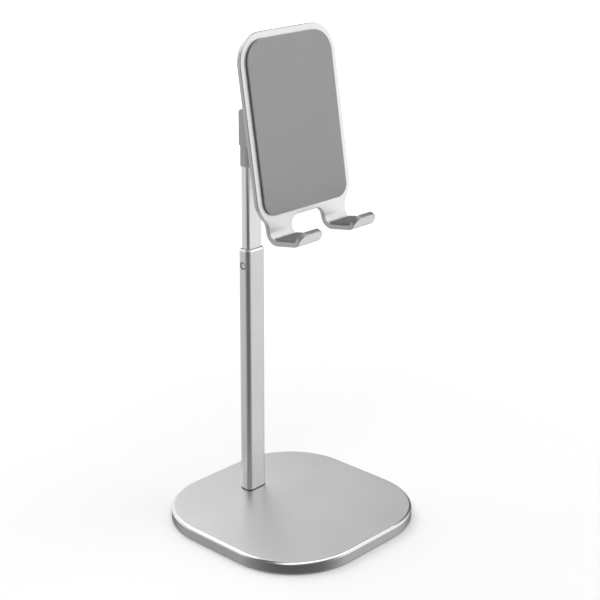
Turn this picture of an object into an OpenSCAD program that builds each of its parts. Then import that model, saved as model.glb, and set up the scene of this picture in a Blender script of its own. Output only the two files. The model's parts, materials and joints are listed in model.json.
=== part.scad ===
// Telescopic desk stand for a phone: weighted base, two-piece post, friction hinge
// and a padded holder plate with two hooks. Millimetres, +Z up, front is -Y.
// The origin is on the desk, under the middle of the base.

/* [Base] */
// Side of the rounded square base
base_w = 117; // [100:1:140]
// Corner radius of the base
base_r = 40; // [30:1:48]
// Height of the base's top face above the desk
base_top = 7; // [7:0.5:10]
// Polished chamfer around the top edge
base_chamfer = 1.2; // [0.6:0.1:2]
// Gap between the cover's rim and the desk
rim_gap = 0.6; // [0.4:0.1:1]

/* [Post] */
// Distance of the post behind the middle of the base
post_y = 30; // [20:1:34]
// Width of the outer tube, along X
outer_w = 13.2; // [12:0.2:14]
// Depth of the outer tube, along Y
outer_d = 7.8; // [7.4:0.2:9]
// Height of the outer tube's rim above the desk
outer_rim = 148.5; // [140:0.5:170]
// Length of inner tube that shows above the rim
mast_out = 45.2; // [45.2:0.2:52]

/* [Holder] */
// Lean of the holder plate back from upright, in degrees
lean = 9.5; // [0:0.5:30]
// Width of the holder plate
plate_w = 68.2; // [66:0.2:80]
// Thickness of the holder plate
plate_t = 2.5; // [2:0.1:3]
// Corner radius of the holder plate
plate_r = 16; // [12:1:20]
// Width of the bare rim around the plate's pad
pad_margin = 4; // [3:0.5:6]
// How far the plate's pad stands proud
pad_t = 1.5; // [1:0.1:2]
// Half width of the slot between the hooks
slot_half = 12; // [9:0.5:14]
// Width of each hook
hook_w = 16.5; // [13:0.5:18]
// Outward lean of the hooks' lips from the plate's plane, in degrees
lip_lean = 36; // [20:1:45]

/* [Hidden] */
$fn = 64;

// Base stack, from the desk up: foot pad, weight, cover skin
pad_rim = 3;
foot_pad_t = 1.6;
skin_t = 2.2;
weight_margin = 6;
weight_z = foot_pad_t;
weight_top = base_top - skin_t;
weight_screw_at = 34;
weight_screw_d = 3;
weight_boss_d = 8;
weight_boss_h = 1.2;

// Post
outer_wall = 0.7;
outer_r = 1.8;
bore_w = outer_w - 2 * outer_wall;
bore_d = outer_d - 2 * outer_wall;
bore_r = 1.1;
gasket_t = 0.4;
outer_z = base_top + gasket_t;
plug_h = 18;
post_bolt_x = 2.9;
post_bolt_d = 3;
post_bolt_l = 15.5;

// Inner tube and what guides it
inner_w = 10.6;
inner_d = 5.6;
inner_wall = 0.8;
inner_r = 1.3;
slide_fit = 0.1;
travel_up = 15;
liner_l = 24;
liner_top = outer_rim - 0.3;
liner_z = liner_top - liner_l;
liner_boss_d = 4;
liner_boss_z = outer_rim - 9.1;
liner_boss_recess = 0.3;
shoe_top = liner_z - travel_up - 0.2;
shoe_h = 14;
spigot_l = 14;
spring_w = 6;
spring_t = 0.3;
spring_l = 11;
spring_bow = 0.55;
pocket_d = 1;
neck_z = outer_rim + mast_out;

// Neck, arm and hinge
neck_w = 11.8;
neck_d = 6;
neck_h = 11.1;
arm_w = 12;
arm_z = neck_z + neck_h;
arm_h = 19.2;
arm_back = post_y + 3;
arm_block = 7;
pin_y = post_y - 19.5;
pin_z = arm_z + 9.2;
pin_d = 4;
knuckle_r = 5.5;
knuckle_half = 3.3;
knuckle_reach = 7;
washer_t = 0.25;
ear_in = knuckle_half + washer_t + 0.05;
ear_out = arm_w / 2;
arm_screw_d = 3;
arm_screw_l = 22;
arm_screw_head = 2.2;
arm_cap_t = 1;

// Holder plate in its own frame: hinge pin at the origin, front is -Y
face_y = -14.35;
back_y = face_y + plate_t;
mid_z = 6;
plate_top = mid_z + 46.9;
plate_low = mid_z - 50.5;
slot_top = mid_z - 46;
slot_r = 5;
shoulder_r = 6;
hook_mid = slot_half + hook_w / 2;
bend_z = mid_z - 51;
bend_r = 4.5;
shelf_l = 11.5;
lip_bend_r = 1.5;
lip_l = 5.2;
lip_corner_r = 4.5;
lip_bend = [face_y - bend_r - shelf_l, bend_z - bend_r + lip_bend_r];
pad_w = plate_w - 2 * pad_margin;
pad_h = 86.8;
pad_r = plate_r - pad_margin;
pad_low_r = 7;
hook_pad_t = 1.3;
pad_run_back = 1.5;
pad_run_front = 1.3;
flange_w = 30;
flange_h = 26;
flange_t = 2.5;
bracket_screw_x = 11;
bracket_screw_z = 9;
bracket_screw_d = 2.5;

// ---- shared shapes ----

// Rectangle with round corners, centred
module round_rect(w, d, r) {
    square([w, d - 2 * r], center = true);
    square([w - 2 * r, d], center = true);
    for (x = [-1, 1], y = [-1, 1])
        translate([x * (w / 2 - r), y * (d / 2 - r)]) circle(r);
}

// Upright prism of round_rect between two heights
module round_bar(w, d, r, z0, z1) {
    translate([0, 0, z0]) linear_extrude(z1 - z0) round_rect(w, d, r);
}

// Half profile of a slab with a chamfered top edge, out to the distance reach
module chamfer_profile(reach, h, c) {
    polygon([[0, 0], [reach, 0], [reach, h - c], [reach - c, h], [0, h]]);
}

// Rounded square slab with a chamfer around its top edge
module chamfered_slab(w, r, h, c) {
    run = w - 2 * r;
    for (turn = [0, 90])
        rotate([0, 0, turn])
            translate([-run / 2, 0, 0])
                rotate([90, 0, 90])
                    linear_extrude(run)
                        for (side = [0, 1])
                            mirror([side, 0]) chamfer_profile(w / 2, h, c);
    for (x = [-1, 1], y = [-1, 1])
        translate([x * run / 2, y * run / 2, 0])
            rotate_extrude($fn = 128) chamfer_profile(r, h, c);
}

// Countersunk screw, its flat head at z = 0 and its shank going up
module countersunk_screw(d, l) {
    cylinder(d = d - 0.1, h = l);
    rotate_extrude()
        polygon([[0, 0], [d * 0.9, 0], [d / 2, d * 0.5], [0, d * 0.5]]);
}

// The space that a countersunk screw needs
module countersunk_hole(d, l) {
    translate([0, 0, -0.01]) cylinder(d = d, h = l + 0.02);
    translate([0, 0, -0.01])
        rotate_extrude()
            polygon([[0, 0], [d * 0.9 + 0.1, 0], [d / 2, d * 0.5 + 0.1], [0, d * 0.5 + 0.1]]);
}

// Cross recess of a countersunk or pan head, opening towards -Z
module cross_recess(d) {
    for (turn = [0, 90])
        rotate([0, 0, turn]) cube([d, d * 0.22, d * 0.5], center = true);
}

// Bar along X with a hexagonal outline
module hex_bar(across, l) {
    rotate([0, 90, 0]) cylinder(d = across / cos(30), h = l, $fn = 6);
}

// Places children at the post's axis
module at_post() {
    translate([0, post_y, 0]) children();
}

// Places children, drawn in the holder's own upright frame, at the hinge
module at_hinge() {
    translate([0, pin_y, pin_z]) rotate([-lean, 0, 0]) children();
}

module at_weight_screws() {
    for (x = [-1, 1], y = [-1, 1])
        translate([x * weight_screw_at, y * weight_screw_at, weight_z]) children();
}

module at_post_bolts() {
    for (x = [-1, 1])
        translate([x * post_bolt_x, post_y, weight_z]) children();
}

module at_bracket_screws() {
    for (x = [-1, 1], z = [-1, 1])
        translate([x * bracket_screw_x, face_y, z * bracket_screw_z])
            rotate([-90, 0, 0]) children();
}

// ---- base ----

module base_cover() {
    pocket = base_w - 2 * pad_rim;
    cavity = base_w - 2 * weight_margin;
    color("silver")
        difference() {
            translate([0, 0, rim_gap])
                chamfered_slab(base_w, base_r, base_top - rim_gap, base_chamfer);
            round_bar(pocket, pocket, base_r - pad_rim, 0, foot_pad_t);
            difference() {
                round_bar(cavity, cavity, base_r - weight_margin, 0, weight_top);
                at_weight_screws()
                    translate([0, 0, weight_top - weight_z - weight_boss_h])
                        cylinder(d = weight_boss_d, h = weight_boss_h);
            }
            at_weight_screws() cylinder(d = weight_screw_d, h = weight_top - weight_z + 0.8);
            at_post_bolts() cylinder(d = post_bolt_d, h = post_bolt_l);
        }
}

module base_weight() {
    plate = base_w - 2 * weight_margin - 0.4;
    color("dimgray")
        difference() {
            round_bar(plate, plate, base_r - weight_margin, weight_z, weight_top);
            at_weight_screws() {
                countersunk_hole(weight_screw_d, base_top);
                translate([0, 0, weight_top - weight_z - weight_boss_h])
                    cylinder(d = weight_boss_d + 0.2, h = weight_boss_h + 0.1);
            }
            at_post_bolts() countersunk_hole(post_bolt_d, base_top);
        }
}

module foot_pad() {
    pad = base_w - 2 * pad_rim - 0.2;
    color("#2b2b2b")
        difference() {
            round_bar(pad, pad, base_r - pad_rim, 0, foot_pad_t);
            // shallow ring groove that frames the pad's grip area
            translate([0, 0, -0.4])
                difference() {
                    round_bar(pad - 8, pad - 8, base_r - pad_rim - 4, 0, 0.7);
                    round_bar(pad - 10, pad - 10, base_r - pad_rim - 5, -1, 1);
                }
        }
}

module weight_screws() {
    color("lightgray")
        at_weight_screws()
            difference() {
                countersunk_screw(weight_screw_d, weight_top - weight_z + 0.7);
                cross_recess(weight_screw_d);
            }
}

module post_bolts() {
    color("lightgray")
        at_post_bolts()
            difference() {
                countersunk_screw(post_bolt_d, post_bolt_l);
                cross_recess(post_bolt_d);
            }
}

// ---- post ----

module foot_plug() {
    color("gray")
        difference() {
            at_post() round_bar(bore_w, bore_d, bore_r, base_top, base_top + plug_h);
            at_post_bolts() cylinder(d = post_bolt_d, h = post_bolt_l + 0.5);
        }
}

module foot_gasket() {
    color("#303030")
        at_post()
            difference() {
                round_bar(outer_w, outer_d, outer_r, base_top, outer_z);
                round_bar(bore_w, bore_d, bore_r, base_top - 1, outer_z + 1);
            }
}

module outer_tube() {
    color("silver")
        at_post()
            difference() {
                round_bar(outer_w, outer_d, outer_r, outer_z, outer_rim);
                round_bar(bore_w, bore_d, bore_r, outer_z - 1, outer_rim + 1);
                translate([-outer_w, 0, liner_boss_z])
                    rotate([0, 90, 0]) cylinder(d = liner_boss_d + 0.2, h = outer_w);
            }
}

// Nylon sleeve that guides the inner tube; its round boss snaps into the outer tube
module guide_liner() {
    boss_out = outer_w / 2 - liner_boss_recess;
    color("lightgray")
        at_post()
            difference() {
                union() {
                    round_bar(bore_w, bore_d, bore_r, liner_z, liner_top);
                    translate([-boss_out, 0, liner_boss_z])
                        rotate([0, 90, 0]) cylinder(d = liner_boss_d, h = 1);
                }
                round_bar(inner_w + 2 * slide_fit, inner_d + 2 * slide_fit, inner_r + slide_fit,
                          liner_z - 1, liner_top + 1);
                translate([-boss_out - 0.01, 0, liner_boss_z])
                    rotate([0, 90, 0]) cylinder(d = liner_boss_d * 0.55, h = 0.3);
            }
}

// ---- mast ----

module inner_tube() {
    color("whitesmoke")
        at_post()
            difference() {
                round_bar(inner_w, inner_d, inner_r, shoe_top, neck_z);
                round_bar(inner_w - 2 * inner_wall, inner_d - 2 * inner_wall, inner_r - 0.6,
                          shoe_top - 1, neck_z + 1);
                translate([-inner_w, 0, shoe_top + spigot_l / 2])
                    rotate([0, 90, 0]) cylinder(d = 2, h = 2 * inner_w);
            }
}

module guide_shoe() {
    shoe_z = shoe_top - shoe_h;
    color("ivory")
        at_post()
            difference() {
                union() {
                    round_bar(bore_w - 2 * slide_fit, bore_d - 2 * slide_fit, bore_r,
                              shoe_z, shoe_top);
                    round_bar(inner_w - 2 * inner_wall, inner_d - 2 * inner_wall, inner_r - 0.6,
                              shoe_top, shoe_top + spigot_l);
                }
                translate([-spring_w / 2 - 0.2, bore_d / 2 - slide_fit - pocket_d, shoe_z + 1])
                    cube([spring_w + 0.4, pocket_d + 1, shoe_h - 2]);
                translate([-inner_w, 0, shoe_top + spigot_l / 2])
                    rotate([0, 90, 0]) cylinder(d = 2, h = 2 * inner_w);
            }
}

module shoe_pin() {
    color("gainsboro")
        at_post()
            translate([-inner_w / 2 + 0.1, 0, shoe_top + spigot_l / 2])
                rotate([0, 90, 0]) cylinder(d = 1.96, h = inner_w - 0.2);
}

// Bowed leaf spring in the shoe's pocket; its crown rubs on the outer tube
module friction_spring() {
    arc_r = (spring_l * spring_l / 4 + spring_bow * spring_bow) / (2 * spring_bow);
    crown = bore_d / 2 - 0.03;
    color("goldenrod")
        at_post()
            translate([-spring_w / 2, crown - arc_r, shoe_top - shoe_h / 2])
                rotate([90, 0, 90])
                    linear_extrude(spring_w)
                        intersection() {
                            difference() {
                                circle(arc_r, $fn = 256);
                                circle(arc_r - spring_t, $fn = 256);
                            }
                            translate([0, -spring_l / 2]) square([2 * arc_r, spring_l]);
                        }
}

module neck_collar() {
    color("#8c8c8c")
        at_post()
            difference() {
                union() {
                    round_bar(neck_w, neck_d, inner_r + 0.4, neck_z, arm_z);
                    round_bar(inner_w - 2 * inner_wall, inner_d - 2 * inner_wall, inner_r - 0.6,
                              neck_z - spigot_l, neck_z);
                }
                translate([0, 0, neck_z - 4]) cylinder(d = arm_screw_d, h = neck_h + 5);
            }
}

// Side view of the arm: an upright block over the neck that reaches forward to the knuckle
module arm_side() {
    block_front = arm_back - arm_block;
    top = arm_z + arm_h;
    soft = 2;
    difference() {
        polygon([[arm_back, arm_z], [arm_back, top], [block_front, top],
                 [pin_y, pin_z + knuckle_r], [pin_y, pin_z - knuckle_r], [block_front, arm_z]]);
        translate([arm_back - soft, top - soft])
            difference() {
                square(soft + 1);
                circle(soft);
            }
    }
    translate([pin_y, pin_z]) circle(knuckle_r);
}

module hinge_arm() {
    color("#969696")
        difference() {
            translate([-arm_w / 2, 0, 0])
                rotate([90, 0, 90]) linear_extrude(arm_w) arm_side();
            // the knuckle is narrow, so that the bracket's ears fit beside it
            for (side = [-1, 1])
                translate([side * (knuckle_half + arm_w / 2), pin_y, pin_z])
                    cube([arm_w, 2 * knuckle_reach, 2 * arm_h], center = true);
            translate([-arm_w, pin_y, pin_z]) rotate([0, 90, 0]) cylinder(d = pin_d, h = 2 * arm_w);
            at_post() {
                translate([0, 0, arm_z - 1]) cylinder(d = arm_screw_d, h = arm_h + 2);
                translate([0, 0, arm_z + arm_h - 4]) cylinder(d = 5, h = 5);
            }
        }
}

module arm_screw() {
    head_z = arm_z + arm_h - 4;
    color("lightgray")
        at_post()
            difference() {
                union() {
                    translate([0, 0, head_z - arm_screw_l + arm_screw_head])
                        cylinder(d = arm_screw_d - 0.1, h = arm_screw_l - arm_screw_head);
                    translate([0, 0, head_z]) cylinder(d = 4.8, h = arm_screw_head);
                }
                translate([0, 0, head_z + arm_screw_head]) cross_recess(arm_screw_d);
            }
}

module arm_cap() {
    color("#969696")
        at_post()
            translate([0, 0, arm_z + arm_h - arm_cap_t - 0.1]) cylinder(d = 4.96, h = arm_cap_t);
}

// ---- holder ----

// Side view of one ear: a web that runs from the flange to the pin
module ear_side() {
    flange_y = back_y + flange_t;
    circle(knuckle_r);
    polygon([[flange_y, -knuckle_r - 2], [0, -knuckle_r], [0, knuckle_r],
             [flange_y, knuckle_r + 2]]);
}

module hinge_bracket() {
    ear_t = ear_out - ear_in;
    color("#8c8c8c")
        at_hinge()
            difference() {
                union() {
                    translate([0, back_y + flange_t, 0])
                        rotate([90, 0, 0]) linear_extrude(flange_t) round_rect(flange_w, flange_h, 4);
                    for (side = [0, 1])
                        mirror([side, 0, 0])
                            translate([ear_in, 0, 0])
                                rotate([90, 0, 90]) linear_extrude(ear_t) ear_side();
                }
                translate([-arm_w, 0, 0]) rotate([0, 90, 0]) cylinder(d = pin_d, h = 2 * arm_w);
                at_bracket_screws() cylinder(d = bracket_screw_d, h = plate_t + flange_t + 1);
            }
}

// Shoulder bolt along X, with a low head on the left ear
module hinge_pin() {
    head_d = 7;
    head_t = 2;
    color("gainsboro")
        at_hinge()
            difference() {
                union() {
                    translate([-ear_out - head_t, 0, 0])
                        rotate([0, 90, 0]) cylinder(d = head_d, h = head_t);
                    translate([-ear_out, 0, 0])
                        rotate([0, 90, 0]) cylinder(d = pin_d - 0.04, h = 2 * ear_out + 4);
                }
                translate([-ear_out - head_t - 0.01, 0, 0]) hex_bar(2.5, 1.4);
            }
}

module hinge_nut() {
    nut_t = 3.2;
    color("gainsboro")
        at_hinge()
            translate([ear_out, 0, 0])
                difference() {
                    hex_bar(7, nut_t);
                    translate([-1, 0, 0]) rotate([0, 90, 0]) cylinder(d = pin_d, h = nut_t + 2);
                }
}

module hinge_washers() {
    color("white")
        at_hinge()
            for (side = [0, 1])
                mirror([side, 0, 0])
                    translate([knuckle_half + 0.03, 0, 0])
                        rotate([0, 90, 0])
                            difference() {
                                cylinder(d = 2 * knuckle_r - 1, h = washer_t);
                                translate([0, 0, -1]) cylinder(d = pin_d, h = 3);
                            }
}

module bracket_screws() {
    color("lightgray")
        at_hinge()
            at_bracket_screws()
                difference() {
                    countersunk_screw(bracket_screw_d, plate_t + flange_t);
                    cross_recess(bracket_screw_d);
                }
}

// Points along an arc from one angle to another
function arc(centre, r, from, to, steps = 12) =
    [for (i = [0:steps])
        let (a = from + (to - from) * i / steps)
        centre + r * [cos(a), sin(a)]];

function reversed(points) = [for (i = [len(points) - 1:-1:0]) points[i]];

// Front outline of the plate's right half, from the top down to the hook and round the slot
function plate_half() =
    let (corner_x = plate_w / 2 - plate_r,
         corner_z = plate_low + plate_r,
         arm_out = slot_half + hook_w,
         // centre of the fillet that leads from the corner arc into the hook
         fillet_x = arm_out + shoulder_r,
         fillet_z = corner_z - sqrt(pow(plate_r + shoulder_r, 2) - pow(fillet_x - corner_x, 2)),
         meet = atan2(fillet_z - corner_z, fillet_x - corner_x))
    concat(arc([corner_x, plate_top - plate_r], plate_r, 90, 0),
           arc([corner_x, corner_z], plate_r, 0, meet),
           arc([fillet_x, fillet_z], shoulder_r, 180 + meet, 180),
           [[arm_out, bend_z]],
           arc([slot_half - slot_r, slot_top - slot_r], slot_r, 0, 90));

// Front view of the flat part of the plate
module plate_front() {
    half = plate_half();
    polygon(concat(half, reversed([for (p = half) [-p.x, p.y]])));
}

// Side view of a hook: plate end, bend, shelf, second bend and lip
module hook_side() {
    bend = [face_y - bend_r, bend_z];
    lip_turn = 90 - lip_lean;
    lip_end = -90 - lip_turn;
    lip_tip = lip_l * [-sin(lip_lean), cos(lip_lean)];
    outer_lip = arc(lip_bend, lip_bend_r + plate_t, -90, lip_end);
    inner_lip = arc(lip_bend, lip_bend_r, lip_end, -90);
    polygon(concat([[back_y, bend_z + 1]],
                   arc(bend, bend_r + plate_t, 0, -90),
                   outer_lip,
                   [outer_lip[len(outer_lip) - 1] + lip_tip, inner_lip[0] + lip_tip],
                   inner_lip,
                   arc(bend, bend_r, -90, 0),
                   [[face_y, bend_z + 1]]));
}

// One hook, centred on x = 0, with the lip's corners rounded off
module hook() {
    difference() {
        translate([-hook_w / 2, 0, 0]) rotate([90, 0, 90]) linear_extrude(hook_w) hook_side();
        translate([0, lip_bend.x, lip_bend.y])
            rotate([lip_lean, 0, 0])
                for (side = [0, 1])
                    mirror([side, 0, 0])
                        translate([hook_w / 2 - lip_corner_r, 0, lip_l - lip_corner_r])
                            rotate([90, 0, 0])
                                linear_extrude(2 * (lip_bend_r + plate_t))
                                    difference() {
                                        square(lip_corner_r + 1);
                                        circle(lip_corner_r);
                                    }
    }
}

module holder_plate() {
    color("silver")
        at_hinge()
            difference() {
                union() {
                    translate([0, back_y, 0])
                        rotate([90, 0, 0]) linear_extrude(plate_t) plate_front();
                    for (side = [-1, 1])
                        translate([side * hook_mid, 0, 0]) hook();
                }
                at_bracket_screws() countersunk_hole(bracket_screw_d, plate_t);
            }
}

// Pad outline: its lower corners are tighter than the upper ones
module pad_front() {
    high_x = pad_w / 2 - pad_r;
    high_z = pad_h / 2 - pad_r;
    low_x = pad_w / 2 - pad_low_r;
    low_z = pad_h / 2 - pad_low_r;
    polygon(concat(arc([high_x, high_z], pad_r, 0, 90),
                   arc([-high_x, high_z], pad_r, 90, 180),
                   arc([-low_x, -low_z], pad_low_r, 180, 270),
                   arc([low_x, -low_z], pad_low_r, 270, 360)));
}

module plate_pad() {
    color("#9a9a9a")
        at_hinge()
            translate([0, face_y, mid_z])
                rotate([90, 0, 0]) linear_extrude(pad_t) pad_front();
}

// Soft strip on a hook's shelf, its ends sloped to lie clear of the two bends
module hook_pad(side) {
    width = hook_w - 0.6;
    shelf_top = bend_z - bend_r;
    pad_top = shelf_top + hook_pad_t;
    back = face_y - bend_r;
    front = back - shelf_l;
    color("#707070")
        at_hinge()
            translate([side * hook_mid - width / 2, 0, 0])
                rotate([90, 0, 90])
                    linear_extrude(width)
                        polygon([[back, shelf_top],
                                 [back + pad_run_back, shelf_top + 0.45],
                                 [back + pad_run_back, pad_top],
                                 [front - pad_run_front, pad_top],
                                 [front - pad_run_front, shelf_top + 0.9],
                                 [front, shelf_top]]);
}

module hook_pad_left() {
    hook_pad(-1);
}

module hook_pad_right() {
    hook_pad(1);
}

base_cover();
base_weight();
foot_pad();
weight_screws();
post_bolts();
foot_plug();
foot_gasket();
outer_tube();
guide_liner();
inner_tube();
guide_shoe();
shoe_pin();
friction_spring();
neck_collar();
hinge_arm();
arm_screw();
arm_cap();
hinge_bracket();
hinge_pin();
hinge_nut();
hinge_washers();
bracket_screws();
holder_plate();
plate_pad();
hook_pad_left();
hook_pad_right();
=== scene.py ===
"""Looks of the telescopic phone stand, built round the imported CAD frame. Metres, +Z up, front is -Y."""

import json
import math

import bmesh
import bpy
from mathutils import Matrix, Vector


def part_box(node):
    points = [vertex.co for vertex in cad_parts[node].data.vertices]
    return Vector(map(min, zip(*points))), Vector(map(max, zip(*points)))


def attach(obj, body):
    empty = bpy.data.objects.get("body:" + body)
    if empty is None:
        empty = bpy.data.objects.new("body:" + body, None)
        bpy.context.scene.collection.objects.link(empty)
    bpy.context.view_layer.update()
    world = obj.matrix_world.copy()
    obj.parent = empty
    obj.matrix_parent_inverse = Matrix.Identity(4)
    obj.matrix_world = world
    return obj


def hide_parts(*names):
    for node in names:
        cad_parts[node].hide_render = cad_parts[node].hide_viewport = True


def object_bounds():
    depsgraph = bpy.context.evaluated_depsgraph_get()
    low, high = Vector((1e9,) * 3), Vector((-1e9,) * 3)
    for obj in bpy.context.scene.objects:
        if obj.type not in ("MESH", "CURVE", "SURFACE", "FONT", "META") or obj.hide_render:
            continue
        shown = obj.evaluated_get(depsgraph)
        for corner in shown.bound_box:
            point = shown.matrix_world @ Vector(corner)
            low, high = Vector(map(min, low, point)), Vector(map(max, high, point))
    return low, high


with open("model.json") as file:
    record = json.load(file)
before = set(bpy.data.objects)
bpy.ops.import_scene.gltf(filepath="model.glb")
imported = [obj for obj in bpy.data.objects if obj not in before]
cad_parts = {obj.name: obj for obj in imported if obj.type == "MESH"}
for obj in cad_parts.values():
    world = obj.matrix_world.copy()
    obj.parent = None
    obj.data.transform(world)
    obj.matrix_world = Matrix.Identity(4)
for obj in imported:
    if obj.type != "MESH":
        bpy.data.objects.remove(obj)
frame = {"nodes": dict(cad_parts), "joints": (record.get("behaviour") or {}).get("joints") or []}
cad_low, cad_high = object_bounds()

MM = 0.001

# ---- camera ----

AIM_FROM_MIDDLE = Vector((0.0028, -0.0029, -0.0082))
CAMERA_AZIMUTH = -46.94
CAMERA_ELEVATION = 19.94
CAMERA_ROLL = -0.26
CAMERA_DISTANCE = 0.7783
CAMERA_LENS = 88.93


def make_camera():
    azimuth, elevation = math.radians(CAMERA_AZIMUTH), math.radians(CAMERA_ELEVATION)
    back = Vector(
        (
            math.sin(azimuth) * math.cos(elevation),
            -math.cos(azimuth) * math.cos(elevation),
            math.sin(elevation),
        )
    )
    data = bpy.data.cameras.new("camera")
    data.lens = CAMERA_LENS
    data.sensor_width = 36
    data.clip_start, data.clip_end = 0.01, 50
    camera = bpy.data.objects.new("camera", data)
    bpy.context.scene.collection.objects.link(camera)
    turn = (-back).to_track_quat("-Z", "Y").to_matrix().to_4x4()
    roll = Matrix.Rotation(math.radians(-CAMERA_ROLL), 4, "Z")
    aim = (cad_low + cad_high) / 2 + AIM_FROM_MIDDLE
    camera.matrix_world = Matrix.Translation(aim + back * CAMERA_DISTANCE) @ turn @ roll
    bpy.context.scene.camera = camera


make_camera()

# ---- materials ----


class Finish:
    """Builds one procedural material: a principled shader with named noise layers."""

    def __init__(self, name, colour, metallic=0.0, roughness=0.5, **sockets):
        self.material = bpy.data.materials.new(name)
        self.material.use_nodes = True
        self.tree = self.material.node_tree
        self.shader = self.tree.nodes["Principled BSDF"]
        self.shader.inputs["Base Color"].default_value = (*colour, 1)
        self.shader.inputs["Metallic"].default_value = metallic
        self.shader.inputs["Roughness"].default_value = roughness
        for socket, value in sockets.items():
            self.shader.inputs[socket.replace("_", " ").title()].default_value = value
        self.where = self.tree.nodes.new("ShaderNodeTexCoord").outputs["Object"]
        self.bump_chain = None

    def link(self, a, b):
        self.tree.links.new(a, b)

    def noise(self, size, stretch=(1, 1, 1), detail=3.0):
        """Noise with features of about that size in metres, longer along an axis with stretch above 1."""
        mapping = self.tree.nodes.new("ShaderNodeMapping")
        mapping.inputs["Scale"].default_value = [1 / (size * s) for s in stretch]
        self.link(self.where, mapping.inputs["Vector"])
        texture = self.tree.nodes.new("ShaderNodeTexNoise")
        texture.inputs["Scale"].default_value = 1.0
        texture.inputs["Detail"].default_value = detail
        self.link(mapping.outputs["Vector"], texture.inputs["Vector"])
        return texture.outputs["Fac"]

    def spread(self, value, low, high):
        """Maps noise, which stays near 0.5, to a range."""
        node = self.tree.nodes.new("ShaderNodeMapRange")
        node.inputs["From Min"].default_value = 0.3
        node.inputs["From Max"].default_value = 0.7
        node.inputs["To Min"].default_value = low
        node.inputs["To Max"].default_value = high
        self.link(value, node.inputs["Value"])
        return node.outputs["Result"]

    def vary_roughness(self, value, low, high):
        self.link(self.spread(value, low, high), self.shader.inputs["Roughness"])
        return self

    def vary_colour(self, value, dark, light):
        mix = self.tree.nodes.new("ShaderNodeMix")
        mix.data_type = "RGBA"
        mix.inputs["A"].default_value = (*dark, 1)
        mix.inputs["B"].default_value = (*light, 1)
        self.link(self.spread(value, 0, 1), mix.inputs["Factor"])
        self.link(mix.outputs["Result"], self.shader.inputs["Base Color"])
        return self

    def bump(self, value, depth, strength=1.0):
        node = self.tree.nodes.new("ShaderNodeBump")
        node.inputs["Strength"].default_value = strength
        node.inputs["Distance"].default_value = depth
        self.link(value, node.inputs["Height"])
        if self.bump_chain is not None:
            self.link(self.bump_chain, node.inputs["Normal"])
        self.bump_chain = node.outputs["Normal"]
        self.link(self.bump_chain, self.shader.inputs["Normal"])
        return self


def grey(level, warmth=0.0):
    return (level * (1 + warmth), level, level * (1 - warmth))


def blasted_metal(name, level, roughness, grain=0.00022, depth=0.000012):
    """Bead-blasted and anodised aluminium: fine pits, and slow changes of sheen."""
    f = Finish(name, grey(level), metallic=1.0, roughness=roughness)
    slow, fine = f.noise(0.03), f.noise(grain, detail=2)
    f.vary_colour(slow, grey(level * 0.985), grey(min(1, level * 1.015)))
    f.vary_roughness(slow, roughness - 0.025, roughness + 0.025)
    return f.bump(fine, depth, 0.5).material


def drawn_metal(name, level, roughness):
    """Drawn tube: faint lines along Z under the anodising."""
    f = Finish(name, grey(level), metallic=1.0, roughness=roughness)
    lines, slow = f.noise(0.0005, (1, 1, 60), 2), f.noise(0.02, (1, 1, 3))
    f.vary_colour(slow, grey(level * 0.98), grey(min(1, level * 1.02)))
    f.vary_roughness(lines, roughness - 0.03, roughness + 0.03)
    f.bump(lines, 0.000004, 0.5)
    return f.bump(f.noise(0.0002, detail=2), 0.000006, 0.4).material


def machined_metal(name, colour, roughness):
    """Turned or plated hardware."""
    f = Finish(name, colour, metallic=1.0, roughness=roughness)
    marks = f.noise(0.0004, (1, 1, 4), 3)
    f.vary_roughness(marks, roughness - 0.06, roughness + 0.08)
    return f.bump(marks, 0.000006, 0.4).material


def polished_metal(name, level, roughness):
    """Diamond-cut chamfer: bright, with faint cutter lines that follow the height."""
    f = Finish(name, grey(level), metallic=1.0, roughness=roughness)
    lines = f.noise(0.0003, (40, 40, 1), 2)
    f.vary_roughness(lines, roughness - 0.02, roughness + 0.03)
    return f.bump(lines, 0.000003, 0.3).material


def moulding(name, level, roughness, grain=0.0004, depth=0.00002, warmth=0.0):
    """Moulded plastic or silicone with a fine spark-eroded texture."""
    f = Finish(name, grey(level, warmth), roughness=roughness)
    slow, fine = f.noise(0.015), f.noise(grain, detail=3)
    f.vary_colour(slow, grey(level * 0.985, warmth), grey(level * 1.015, warmth))
    f.vary_roughness(fine, roughness - 0.06, roughness + 0.06)
    return f.bump(fine, depth, 0.6).material


BASE_SATIN = blasted_metal("base_satin", 0.82, 0.36)
BASE_CHAMFER = polished_metal("base_chamfer", 0.92, 0.20)
# the side wall is the top's blasted aluminium made darker: painted shade
BASE_WALL_PAINTED_SHADE = blasted_metal("base_wall_painted_shade", 0.55, 0.36)
PLATE_METAL = blasted_metal("plate_metal", 0.93, 0.42)
# the plate's edge band is its own blasted aluminium made darker: painted shade on the sides
PLATE_CUT_PAINTED_SHADE = blasted_metal("plate_cut_edge_painted_shade", 0.56, 0.40)
OUTER_METAL = drawn_metal("outer_tube_metal", 0.77, 0.39)
OUTER_RIM = polished_metal("outer_tube_rim", 0.97, 0.22)
INNER_METAL = drawn_metal("inner_tube_metal", 0.86, 0.37)
PLUG_METAL = machined_metal("plug_metal", grey(0.62), 0.35)
WEIGHT_STEEL = machined_metal("weight_steel", grey(0.30), 0.5)
SCREW_STEEL = machined_metal("screw_steel", grey(0.62), 0.28)
SPRING_BRONZE = machined_metal("spring_bronze", (0.72, 0.50, 0.30), 0.3)
HINGE_PLASTIC = moulding("hinge_plastic", 0.32, 0.5)
BRACKET_PLASTIC = moulding("bracket_plastic", 0.29, 0.52)
NYLON = moulding("nylon", 0.62, 0.45, warmth=0.01)
LINER_NYLON = moulding("liner_nylon", 0.26, 0.5)
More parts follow.
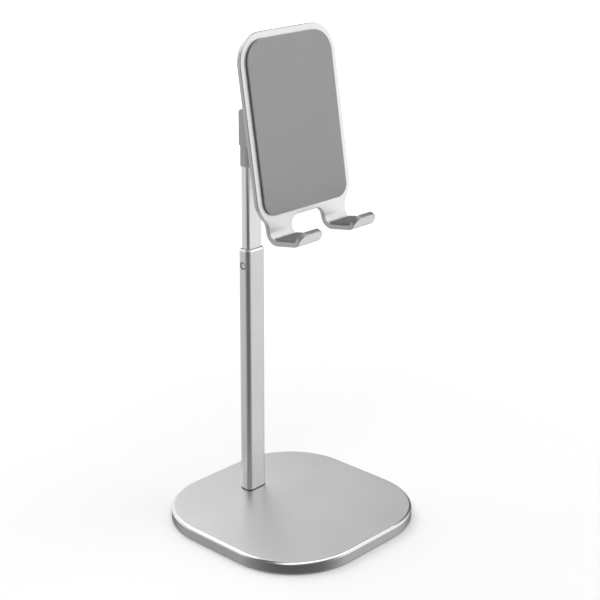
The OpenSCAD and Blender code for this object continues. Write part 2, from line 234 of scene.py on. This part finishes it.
FOOT_RUBBER = moulding("foot_rubber", 0.022, 0.75, grain=0.0006, depth=0.00004)
GASKET_RUBBER = moulding("gasket_rubber", 0.03, 0.7)
PAD_SILICONE = moulding("pad_silicone", 0.33, 0.78, grain=0.00035, depth=0.000015)
# the hook pads are the plate pad's silicone at about half its grey: painted shade
HOOK_SILICONE_PAINTED_SHADE = moulding("hook_silicone", 0.17, 0.74, grain=0.00035, depth=0.000015)

# ---- mesh helpers ----


def arc(centre, radius, start, end, steps=12):
    """Points of an arc between two angles in degrees, both ends included."""
    points = []
    for i in range(steps + 1):
        a = math.radians(start + (end - start) * i / steps)
        points.append((centre[0] + radius * math.cos(a), centre[1] + radius * math.sin(a)))
    return points


def round_rect(width, depth, radius, steps=12):
    """Rounded rectangle about the origin, anticlockwise."""
    x, y = width / 2 - radius, depth / 2 - radius
    points = []
    for cx, cy, start in ((x, y, 0), (-x, y, 90), (-x, -y, 180), (x, -y, 270)):
        points += arc((cx, cy), radius, start, start + 90, steps)
    return points


def inset(outline, distance):
    """The outline, anticlockwise and with round corners, moved inwards along its normals."""
    moved, n = [], len(outline)
    for i, (x, y) in enumerate(outline):
        before, after = outline[i - 1], outline[(i + 1) % n]
        along = Vector((after[0] - before[0], after[1] - before[1])).normalized()
        moved.append((x - along.y * distance, y + along.x * distance))
    return moved


def edge_round(thickness, radius, steps=4):
    """(inset, height) from one face of a plate to the other, with both edges rounded."""
    half = [
        (
            radius * (1 - math.sin(math.pi / 2 * i / steps)),
            radius * (1 - math.cos(math.pi / 2 * i / steps)),
        )
        for i in range(steps + 1)
    ]
    return half + [(d, thickness - h) for d, h in reversed(half)]


def skin(bm, rings, indexes=None, close=True):
    """Joins rings of points into a closed skin, and returns its vertices ring by ring."""
    made = [[bm.verts.new(p) for p in ring] for ring in rings]
    n = len(made[0])
    for k in range(len(made) - 1):
        for i in range(n):
            j = (i + 1) % n
            face = bm.faces.new((made[k][i], made[k][j], made[k + 1][j], made[k + 1][i]))
            face.material_index = indexes[k] if indexes else 0
    if close:
        bm.faces.new(list(reversed(made[0]))).material_index = indexes[0] if indexes else 0
        bm.faces.new(made[-1]).material_index = indexes[-1] if indexes else 0
    return made


def piece(name, bm, materials, slot, body, *nodes):
    """Turns a bmesh into a smooth-shaded piece that rides on a body and stands for CAD nodes."""
    bmesh.ops.remove_doubles(bm, verts=bm.verts, dist=1e-7)
    bmesh.ops.recalc_face_normals(bm, faces=bm.faces)
    mesh = bpy.data.meshes.new(name)
    bm.to_mesh(mesh)
    bm.free()
    obj = bpy.data.objects.new(name, mesh)
    bpy.context.scene.collection.objects.link(obj)
    for material in materials:
        mesh.materials.append(material)
    for polygon in mesh.polygons:
        polygon.use_smooth = True
    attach(obj, body)
    if nodes:
        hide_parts(*nodes)
    return obj


def weigh(obj):
    """Keeps flat faces flat under smooth shading."""
    modifier = obj.modifiers.new("weighted_normal", "WEIGHTED_NORMAL")
    modifier.mode = "FACE_AREA"
    modifier.weight = 100
    modifier.keep_sharp = True
    return obj


def soften(obj, width, segments=3, limit=35):
    """Rounds a piece's sharp edges."""
    modifier = obj.modifiers.new("edges", "BEVEL")
    modifier.width = width
    modifier.segments = segments
    modifier.limit_method = "ANGLE"
    modifier.angle_limit = math.radians(limit)
    modifier.use_clamp_overlap = True
    return weigh(obj)


def lifted(outline, z, centre=(0, 0)):
    return [(centre[0] + x, centre[1] + y, z) for x, y in outline]


def lathe(bm, profile, place, steps=48):
    """Closed skin of revolution about the local Z axis, from (radius, height) pairs."""
    turns = [2 * math.pi * i / steps for i in range(steps)]
    rings = []
    for r, h in profile:
        rings.append([place @ Vector((r * math.cos(a), r * math.sin(a), h)) for a in turns])
    skin(bm, rings)


def close_tube(bm, made):
    """Joins the last ring of a skin back to its first."""
    first, last = made[0], made[-1]
    for i in range(len(first)):
        j = (i + 1) % len(first)
        bm.faces.new((last[i], last[j], first[j], first[i]))


def in_metres(pairs):
    return [(a * MM, b * MM) for a, b in pairs]


# ---- base ----

BASE_CORNER = 40 * MM
SATIN, CHAMFER, WALL = 0, 1, 2
# (inset, height above the rim's underside, finish of the band that starts there), in millimetres
BASE_PROFILE = (
    (3.0, 0.9, WALL),
    (3.0, 0.0, WALL),
    (0.35, 0.0, WALL),
    (0.10, 0.10, WALL),
    (0.0, 0.35, WALL),
    (0.0, 5.02, WALL),
    (0.03, 5.12, CHAMFER),
    (0.20, 5.42, CHAMFER),
    (0.55, 5.85, CHAMFER),
    (0.95, 6.19, CHAMFER),
    (1.28, 6.36, CHAMFER),
    (1.42, 6.4, SATIN),
    (1.9, 6.4, SATIN),
)


def make_base_cover():
    low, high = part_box("base_cover")
    width = high.x - low.x
    outline = round_rect(width, width, BASE_CORNER, 24)
    bm = bmesh.new()
    rings = [lifted(inset(outline, d * MM), low.z + h * MM) for d, h, _ in BASE_PROFILE]
    skin(bm, rings, [band for _, _, band in BASE_PROFILE])
    # the wall band takes the darker copy of the satin metal, painted shade
    finishes = [BASE_SATIN, BASE_CHAMFER, BASE_WALL_PAINTED_SHADE]
    return weigh(piece("base_cover_shell", bm, finishes, "base_aluminium", "base", "base_cover"))


make_base_cover()

# ---- post ----

# the tubes' corners are a little rounder here than in the CAD
OUTER_CORNER = 2.4 * MM
OUTER_WALL = 0.7 * MM
BORE_CORNER = OUTER_CORNER - OUTER_WALL
INNER_CORNER = 1.6 * MM
INNER_WALL = 0.8 * MM
LEAST_CORNER = 0.25 * MM
SLIDE_FIT = 0.1 * MM
END_BREAK = 0.1 * MM  # small chamfer on a sawn end
FOOT_BREAK = 0.15 * MM
# the outer tube's rounded rim: (inset, drop below the rim) in millimetres
RIM_PROFILE = ((0.0, 1.15), (0.04, 0.95), (0.22, 0.35), (0.36, 0.08), (0.48, 0.0), (0.63, 0.0))
# the snap boss on the tube's left face: (radius, depth) in millimetres of its hole and its button
BOSS_DROP = 9.1 * MM
BOSS_DISH = 1.25 * MM
BOSS_TIP = 0.001
BOSS_HOLE = ((2.45, -0.3), (2.1, 0.12), (2.1, 1.1))
BOSS_BUTTON = (
    (BOSS_TIP, 0.42),
    (0.7, 0.38),
    (1.05, 0.2),
    (1.3, 0.03),
    (1.6, 0.0),
    (1.85, 0.08),
    (1.97, 0.3),
    (1.97, 1.0),
    (BOSS_TIP, 1.0),
)


def boss_place(x, y, rim):
    """Frame of the snap boss, whose axis runs inwards from the tube's left face."""
    return Matrix.Translation((x, y, rim - BOSS_DROP)) @ Matrix.Rotation(math.pi / 2, 4, "Y")


def tube_rings(box, corner, profile, steps=8):
    """Rings of a rounded rectangular tube whose outside is the box, for (inset, height) pairs."""
    low, high = box
    x, y = high.x - low.x, high.y - low.y
    centre = ((low.x + high.x) / 2, (low.y + high.y) / 2)
    rings = []
    for d, z in profile:
        r = max(corner - d, LEAST_CORNER)
        rings.append(lifted(round_rect(x - 2 * d, y - 2 * d, r, steps), z, centre))
    return rings


def cut(obj, cutter_bm):
    """Cuts a closed tool out of a piece for good."""
    mesh = bpy.data.meshes.new("cutter")
    bmesh.ops.recalc_face_normals(cutter_bm, faces=cutter_bm.faces)
    cutter_bm.to_mesh(mesh)
    cutter_bm.free()
    cutter = bpy.data.objects.new("cutter", mesh)
    bpy.context.scene.collection.objects.link(cutter)
    modifier = obj.modifiers.new("cut", "BOOLEAN")
    modifier.operation = "DIFFERENCE"
    modifier.solver = "EXACT"
    modifier.object = cutter
    bpy.context.view_layer.update()
    evaluated = obj.evaluated_get(bpy.context.evaluated_depsgraph_get())
    result = bpy.data.meshes.new_from_object(evaluated)
    obj.modifiers.clear()
    obj.data = result
    bpy.data.objects.remove(cutter)
    return obj


def make_outer_tube():
    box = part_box("outer_tube")
    low, high = box
    rim = high.z
    profile = [(OUTER_WALL, low.z), (FOOT_BREAK, low.z), (0.0, low.z + FOOT_BREAK)]
    indexes = [0] * len(profile) + [1] * len(RIM_PROFILE) + [0]
    profile += [(d * MM, rim - drop * MM) for d, drop in RIM_PROFILE]
    profile.append((OUTER_WALL, rim - END_BREAK))
    bm = bmesh.new()
    close_tube(bm, skin(bm, tube_rings(box, OUTER_CORNER, profile), indexes, close=False))
    finishes = [OUTER_METAL, OUTER_RIM]
    tube = piece("outer_tube_shell", bm, finishes, "tube_aluminium", "base", "outer_tube")
    tool = bmesh.new()
    lathe(tool, in_metres(BOSS_HOLE), boss_place(low.x, (low.y + high.y) / 2, rim))
    return weigh(cut(tube, tool))


def make_guide_liner():
    """Nylon sleeve with its snap boss, a dished button in the tube's left face. The button's rim round
    its light dish takes the sleeve's dark nylon, painted shade for the ring round the button.
    """
    low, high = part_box("guide_liner")
    tube_low, tube_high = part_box("outer_tube")
    wall = Vector((OUTER_WALL, OUTER_WALL, 0))
    bore = (tube_low + wall, tube_high - wall)
    gap = Vector((SLIDE_FIT, SLIDE_FIT, 0))
    inner_low, inner_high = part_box("inner_tube")
    hole = (inner_low - gap, inner_high + gap)
    outside = tube_rings(bore, BORE_CORNER, [(0, low.z), (0, high.z)])
    inside = tube_rings(hole, INNER_CORNER + SLIDE_FIT, [(0, high.z), (0, low.z)])
    bm = bmesh.new()
    close_tube(bm, skin(bm, outside + inside, close=False))
    sleeve_faces = len(bm.faces)
    middle = (low.y + high.y) / 2
    lathe(bm, in_metres(BOSS_BUTTON), boss_place(low.x, middle, tube_high.z))
    bm.faces.ensure_lookup_table()
    axis = Vector((0, middle, tube_high.z - BOSS_DROP))
    # faces near the axis get the light nylon; the rest of the button gets the dark nylon as painted shade
    for face in bm.faces[sleeve_faces:]:
        off = face.calc_center_median() - axis
        face.material_index = 1 if math.hypot(off.y, off.z) < BOSS_DISH else 0
    finishes = [LINER_NYLON, NYLON]
    return weigh(piece("guide_liner_sleeve", bm, finishes, "nylon", "base", "guide_liner"))


def make_inner_tube():
    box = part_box("inner_tube")
    low, high = box
    profile = [
        (INNER_WALL, low.z),
        (END_BREAK, low.z),
        (0, low.z + END_BREAK),
        (0, high.z - END_BREAK),
        (END_BREAK, high.z),
        (INNER_WALL, high.z),
    ]
    bm = bmesh.new()
    close_tube(bm, skin(bm, tube_rings(box, INNER_CORNER, profile), close=False))
    return weigh(piece("inner_tube_shell", bm, [INNER_METAL], "tube_aluminium", "mast", "inner_tube"))


make_outer_tube()
make_guide_liner()
make_inner_tube()

# ---- holder ----

LEAN = 9.5
tilt = next(j for j in frame["joints"] if j["name"] == "head_tilt")
HOLDER = Matrix.Translation(tilt["pos_m"]) @ Matrix.Rotation(math.radians(-LEAN), 4, "X")

FACE_Y, PLATE_T = -14.35, 2.5
MID_Z = 6.0
PLATE_W, PLATE_TOP, PLATE_LOW, PLATE_R = 68.2, 52.9, -44.5, 16.0
SLOT_HALF, SLOT_TOP, SLOT_R = 12.0, -40.0, 5.0
HOOK_W, SHOULDER_R = 16.5, 6.0
BEND_Z, BEND_R, SHELF, LIP_BEND_R, LIP, LIP_CORNER = -45.0, 4.5, 11.5, 1.5, 5.2, 4.5
PLATE_EDGE = 0.3
LIP_TURN = math.radians(90 - 36)
BEND_LENGTH = math.pi / 2 * (BEND_R + PLATE_T / 2)
LIP_BEND_LENGTH = LIP_TURN * (LIP_BEND_R + PLATE_T / 2)
SHELF_END = BEND_Z - BEND_LENGTH - SHELF
FLAT_END = SHELF_END - LIP_BEND_LENGTH - LIP
BEND_STEPS, LIP_BEND_STEPS = 14, 10


def fold(x, depth, z):
    """Place in the holder's frame of a point of the flat blank: depth is behind the front face."""
    run = BEND_Z - z
    if run <= 0:
        return Vector((x, FACE_Y + depth, z)) * MM
    cy = FACE_Y - BEND_R
    if run <= BEND_LENGTH:
        a = run / (BEND_R + PLATE_T / 2)
        r = BEND_R + depth
        return Vector((x, cy + r * math.cos(a), BEND_Z - r * math.sin(a))) * MM
    run -= BEND_LENGTH
    if run <= SHELF:
        return Vector((x, cy - run, BEND_Z - BEND_R - depth)) * MM
    run -= SHELF
    cy, cz = cy - SHELF, BEND_Z - BEND_R + LIP_BEND_R
    a = min(run, LIP_BEND_LENGTH) / (LIP_BEND_R + PLATE_T / 2)
    r = LIP_BEND_R + depth
    y, z = cy - r * math.sin(a), cz - r * math.cos(a)
    beyond = max(0.0, run - LIP_BEND_LENGTH)
    return Vector((x, y - beyond * math.cos(a), z + beyond * math.sin(a))) * MM


def blank_outline():
    """Right half of the flat blank, from the top round the hook to the slot, then its mirror image.

    Also returns the places in the half of the hook's outer and inner stations, paired at equal heights.
    """
    corner_x, corner_z = PLATE_W / 2 - PLATE_R, PLATE_LOW + PLATE_R
    arm_out = SLOT_HALF + HOOK_W
    fillet_x = arm_out + SHOULDER_R
    fillet_z = corner_z - math.sqrt((PLATE_R + SHOULDER_R) ** 2 - (fillet_x - corner_x) ** 2)
    meet = math.degrees(math.atan2(fillet_z - corner_z, fillet_x - corner_x))
    stations = [BEND_Z - BEND_LENGTH * i / BEND_STEPS for i in range(BEND_STEPS + 1)]
    stations += [SHELF_END - LIP_BEND_LENGTH * i / LIP_BEND_STEPS for i in range(LIP_BEND_STEPS + 1)]
    half = arc((corner_x, PLATE_TOP - PLATE_R), PLATE_R, 90, 0, 20)
    half += arc((corner_x, corner_z), PLATE_R, 0, meet, 12)
    half += arc((fillet_x, fillet_z), SHOULDER_R, 180 + meet, 180, 10)[1:]
    outer = range(len(half), len(half) + len(stations))
    half += [(arm_out, z) for z in stations]
    half += arc((arm_out - LIP_CORNER, FLAT_END + LIP_CORNER), LIP_CORNER, 0, -90, 10)
    half += arc((SLOT_HALF + LIP_CORNER, FLAT_END + LIP_CORNER), LIP_CORNER, -90, -180, 10)
    inner = range(len(half) + len(stations) - 1, len(half) - 1, -1)
    half += [(SLOT_HALF, z) for z in reversed(stations)]
    half += arc((SLOT_HALF - SLOT_R, SLOT_TOP - SLOT_R), SLOT_R, 0, 90, 12)[1:]
    return half + [(-x, z) for x, z in reversed(half)], outer, inner


def cap(bm, ring, outer, inner):
    """Fills one side of the sheet: the plate, strips down each hook, and the lips' round ends."""
    last = len(ring) - 1
    plate = list(range(outer[0] + 1))
    plate += list(range(inner[0], last - inner[0] + 1))
    plate += list(range(last - outer[0], last + 1))
    strips = [[outer[k], outer[k + 1], inner[k + 1], inner[k]] for k in range(len(outer) - 1)]
    strips.append(list(range(outer[-1], inner[-1] + 1)))
    mirrored = [[last - i for i in strip] for strip in strips]
    for face in [plate] + strips + mirrored:
        bm.faces.new([ring[i] for i in face]).material_index = 0


def make_holder_plate():
    outline, outer, inner = blank_outline()
    anticlockwise = outline[::-1]
    edge = edge_round(PLATE_T, PLATE_EDGE, 3)
    rings = []
    for d, depth in edge:
        ring = [(x, depth, z) for x, z in inset(anticlockwise, d)]
        rings.append([HOLDER @ fold(*point) for point in reversed(ring)])
    bm = bmesh.new()
    # every band round the edge takes material 1, the darker copy of the plate metal: painted shade
    made = skin(bm, rings, [1] * len(rings), close=False)
    for ring in (made[0], made[-1]):
        cap(bm, ring, outer, inner)
    materials = [PLATE_METAL, PLATE_CUT_PAINTED_SHADE]
    return weigh(piece("holder_plate_sheet", bm, materials, "plate_aluminium", "head", "holder_plate"))


PAD_W, PAD_H, PAD_R, PAD_LOW_R, PAD_T = 60.2, 86.8, 12.0, 7.0, 1.5
# the pad's rounded edge: (inset, drop below its face) in millimetres
PAD_EDGE = ((0, 0.35), (0.03, 0.2), (0.12, 0.07), (0.3, 0), (1.0, 0))


def make_plate_pad():
    outline = []
    corners = (
        (1, 1, PAD_R, 0),
        (-1, 1, PAD_R, 90),
        (-1, -1, PAD_LOW_R, 180),
        (1, -1, PAD_LOW_R, 270),
    )
    for side, end, r, start in corners:
        centre = (side * (PAD_W / 2 - r), end * (PAD_H / 2 - r))
        outline += arc(centre, r, start, start + 90, 20)
    profile = [(0, 0)] + [(d, PAD_T - drop) for d, drop in PAD_EDGE]
    rings = []
    for d, h in profile:
        ring = inset(outline, d)
        rings.append([HOLDER @ (Vector((x, FACE_Y - h, MID_Z + z)) * MM) for x, z in ring])
    bm = bmesh.new()
    skin(bm, rings)
    return weigh(piece("plate_pad_sheet", bm, [PAD_SILICONE], "pad_silicone", "head", "plate_pad"))


HOOK_PAD_T, HOOK_PAD_GAP = 1.3, 0.6
RUN_BACK, RUN_FRONT = 1.5, 1.3  # how far the strip's sloped ends reach over the two bends
LIFT_BACK, LIFT_FRONT = 0.45, 0.9  # height of each end's foot, clear of the bend
HOOK_PAD_EDGE = 0.25 * MM


def make_hook_pad(side, node):
    shelf_top = BEND_Z - BEND_R
    back, front = FACE_Y - BEND_R, FACE_Y - BEND_R - SHELF
    top = shelf_top + HOOK_PAD_T
    outline = [
        (back, shelf_top),
        (back + RUN_BACK, shelf_top + LIFT_BACK),
        (back + RUN_BACK, top),
        (front - RUN_FRONT, top),
        (front - RUN_FRONT, shelf_top + LIFT_FRONT),
        (front, shelf_top),
    ]
    middle, half = side * (SLOT_HALF + HOOK_W / 2), (HOOK_W - HOOK_PAD_GAP) / 2
    rings = []
    for x in (middle - half, middle + half):
        rings.append([HOLDER @ (Vector((x, y, z)) * MM) for y, z in outline])
    bm = bmesh.new()
    skin(bm, rings)
    # the strips take the darker copy of the pad silicone, painted shade
    strip = piece(node + "_strip", bm, [HOOK_SILICONE_PAINTED_SHADE], "hook_silicone", "head", node)
    return soften(strip, HOOK_PAD_EDGE, 3, 20)


make_holder_plate()
make_plate_pad()
make_hook_pad(-1, "hook_pad_left")
make_hook_pad(1, "hook_pad_right")

# ---- CAD nodes that keep their own shape ----

KEPT = {  # node: (material, width of the rounded edges in millimetres)
    "base_weight": (WEIGHT_STEEL, 0.3),
    "foot_pad": (FOOT_RUBBER, 0.2),
    "weight_screws": (SCREW_STEEL, 0.08),
    "post_bolts": (SCREW_STEEL, 0.08),
    "foot_plug": (PLUG_METAL, 0.2),
    "foot_gasket": (GASKET_RUBBER, 0.05),
    "guide_shoe": (NYLON, 0.15),
    "shoe_pin": (SCREW_STEEL, 0.1),
    "friction_spring": (SPRING_BRONZE, 0.05),
    "neck_collar": (HINGE_PLASTIC, 0.45),
    "hinge_arm": (HINGE_PLASTIC, 0.5),
    "arm_screw": (SCREW_STEEL, 0.1),
    "arm_cap": (HINGE_PLASTIC, 0.15),
    "hinge_bracket": (BRACKET_PLASTIC, 0.4),
    "hinge_pin": (SCREW_STEEL, 0.3),
    "hinge_nut": (SCREW_STEEL, 0.3),
    "hinge_washers": (NYLON, 0.04),
    "bracket_screws": (SCREW_STEEL, 0.08),
}


def dress(node, material, width):
    """Gives a CAD node its finish, merges its flat facets, and rounds its edges."""
    obj = frame["nodes"][node]
    obj.data.materials.clear()
    obj.data.materials.append(material)
    for polygon in obj.data.polygons:
        polygon.use_smooth = True
        polygon.material_index = 0
    weld = obj.modifiers.new("weld", "WELD")
    weld.merge_threshold = 1e-6
    flat = obj.modifiers.new("flat", "DECIMATE")
    flat.decimate_type = "DISSOLVE"
    flat.angle_limit = math.radians(0.5)
    soften(obj, width * MM, 3, 30)


for name, (material, width) in KEPT.items():
    dress(name, material, width)

# ---- floor and light ----

FLOOR_SIZE = 12.0
FLOOR_DROP = 0.00005
GLOW_FROM, GLOW_TO, GLOW = 0.2, 1.6, 0.6  # distances in metres, and the glow beyond them


def make_floor():
    bm = bmesh.new()
    bmesh.ops.create_grid(bm, x_segments=1, y_segments=1, size=FLOOR_SIZE)
    mesh = bpy.data.meshes.new("floor")
    bm.to_mesh(mesh)
    bm.free()
    floor = bpy.data.objects.new("floor", mesh)
    floor.location.z = cad_low.z - FLOOR_DROP
    bpy.context.scene.collection.objects.link(floor)
    paper = Finish("floor_paper", grey(0.9), roughness=0.9)
    # the paper glows away from the stand, where the lights fall off
    far = paper.tree.nodes.new("ShaderNodeVectorMath")
    far.operation = "LENGTH"
    paper.link(paper.where, far.inputs[0])
    glow = paper.tree.nodes.new("ShaderNodeMapRange")
    glow.inputs["From Min"].default_value = GLOW_FROM
    glow.inputs["From Max"].default_value = GLOW_TO
    glow.inputs["To Max"].default_value = GLOW
    paper.link(far.outputs["Value"], glow.inputs["Value"])
    paper.link(glow.outputs["Result"], paper.shader.inputs["Emission Strength"])
    paper.shader.inputs["Emission Color"].default_value = (1, 1, 1, 1)
    mesh.materials.append(paper.material)
    floor.visible_glossy = False  # the metal mirrors the studio below the horizon too, not the floor


def softbox(name, azimuth, elevation, distance, width, height, power, target=(0, 0, 0.1)):
    """Area light that faces the target. Azimuth 0 is in front (-Y) and 90 is on the +X side."""
    a, e = math.radians(azimuth), math.radians(elevation)
    back = Vector((math.sin(a) * math.cos(e), -math.cos(a) * math.cos(e), math.sin(e)))
    data = bpy.data.lights.new(name, "AREA")
    data.shape = "RECTANGLE"
    data.size, data.size_y = width, height
    data.energy = power
    light = bpy.data.objects.new(name, data)
    light.location = Vector(target) + back * distance
    light.rotation_mode = "QUATERNION"
    light.rotation_quaternion = (-back).to_track_quat("-Z", "Y")
    light.visible_camera = False
    bpy.context.scene.collection.objects.link(light)
    return light


def soft_sun(strength, angle, direction):
    """Even light over the whole floor. It is left out of reflections."""
    data = bpy.data.lights.new("overhead", "SUN")
    data.energy = strength
    data.angle = math.radians(angle)
    sun = bpy.data.objects.new("overhead", data)
    sun.rotation_mode = "QUATERNION"
    sun.rotation_quaternion = Vector(direction).to_track_quat("-Z", "Y")
    sun.visible_glossy = False
    bpy.context.scene.collection.objects.link(sun)


WALLS = 0.50  # the studio's general grey
DARKEST = 0.12  # what its darkest part still sends out
LOBES = (  # (direction, cosine where it starts, cosine where it is full, amount)
    ((-0.69, -0.64, 0.0), 0.0, 0.32, -0.36),  # dark room behind the camera
    ((0.69, -0.70, -0.15), 0.55, 0.95, 0.60),  # white wall to the front right
    ((-0.69, 0.64, -0.30), 0.55, 0.95, 0.42),  # white wall to the back left
    ((0.35, 0.87, 0.34), 0.60, 0.97, 0.42),  # window behind the stand's left
    ((0.92, 0.28, 0.30), 0.72, 0.98, -0.42),  # greyer wall behind its right
    ((0.0, 0.0, -1.0), 0.27, 0.50, -0.42),  # shade near the table, on the foot of the post
    ((0.0, 0.0, -1.0), 0.54, 0.76, 0.72),  # the white table itself, on what faces down
    ((-0.43, 0.12, 0.895), 0.93, 0.98, -0.40),  # gap between the lights, a dark streak in the chamfer
)


def make_world():
    """White backdrop to the camera, and a soft studio with light and dark walls to everything else."""
    world = bpy.data.worlds.new("studio")
    bpy.context.scene.world = world
    world.use_nodes = True
    tree = world.node_tree
    tree.nodes.clear()
    where = tree.nodes.new("ShaderNodeTexCoord").outputs["Generated"]
    level = None
    for direction, start, full, amount in LOBES:
        dot = tree.nodes.new("ShaderNodeVectorMath")
        dot.operation = "DOT_PRODUCT"
        dot.inputs[1].default_value = Vector(direction).normalized()
        tree.links.new(where, dot.inputs[0])
        lobe = tree.nodes.new("ShaderNodeMapRange")
        lobe.interpolation_type = "SMOOTHSTEP"
        lobe.inputs["From Min"].default_value = start
        lobe.inputs["From Max"].default_value = full
        lobe.inputs["To Min"].default_value = 0.0
        lobe.inputs["To Max"].default_value = amount
        tree.links.new(dot.outputs["Value"], lobe.inputs["Value"])
        add = tree.nodes.new("ShaderNodeMath")
        add.operation = "ADD"
        add.inputs[0].default_value = WALLS
        if level is not None:
            tree.links.new(level, add.inputs[0])
        tree.links.new(lobe.outputs["Result"], add.inputs[1])
        level = add.outputs["Value"]
    least = tree.nodes.new("ShaderNodeMath")
    least.operation = "MAXIMUM"
    least.inputs[1].default_value = DARKEST
    tree.links.new(level, least.inputs[0])
    level = least.outputs["Value"]
    studio = tree.nodes.new("ShaderNodeBackground")
    studio.inputs["Color"].default_value = (1, 1, 1, 1)
    tree.links.new(level, studio.inputs["Strength"])
    backdrop = tree.nodes.new("ShaderNodeBackground")
    backdrop.inputs["Color"].default_value = (1, 1, 1, 1)
    backdrop.inputs["Strength"].default_value = 1.0
    seen = tree.nodes.new("ShaderNodeLightPath")
    mix = tree.nodes.new("ShaderNodeMixShader")
    tree.links.new(seen.outputs["Is Camera Ray"], mix.inputs["Fac"])
    tree.links.new(studio.outputs["Background"], mix.inputs[1])
    tree.links.new(backdrop.outputs["Background"], mix.inputs[2])
    out = tree.nodes.new("ShaderNodeOutputWorld")
    tree.links.new(mix.outputs["Shader"], out.inputs["Surface"])


make_floor()
make_world()
soft_sun(strength=1.2, angle=70, direction=(0.15, 0.1, -1))
softbox("back_light", azimuth=186, elevation=49, distance=2.2, width=2.6, height=1.3, power=12)
softbox("front_light", azimuth=0, elevation=66, distance=2.2, width=4.2, height=1.1, power=17)
bpy.context.scene.view_settings.view_transform = "Standard"
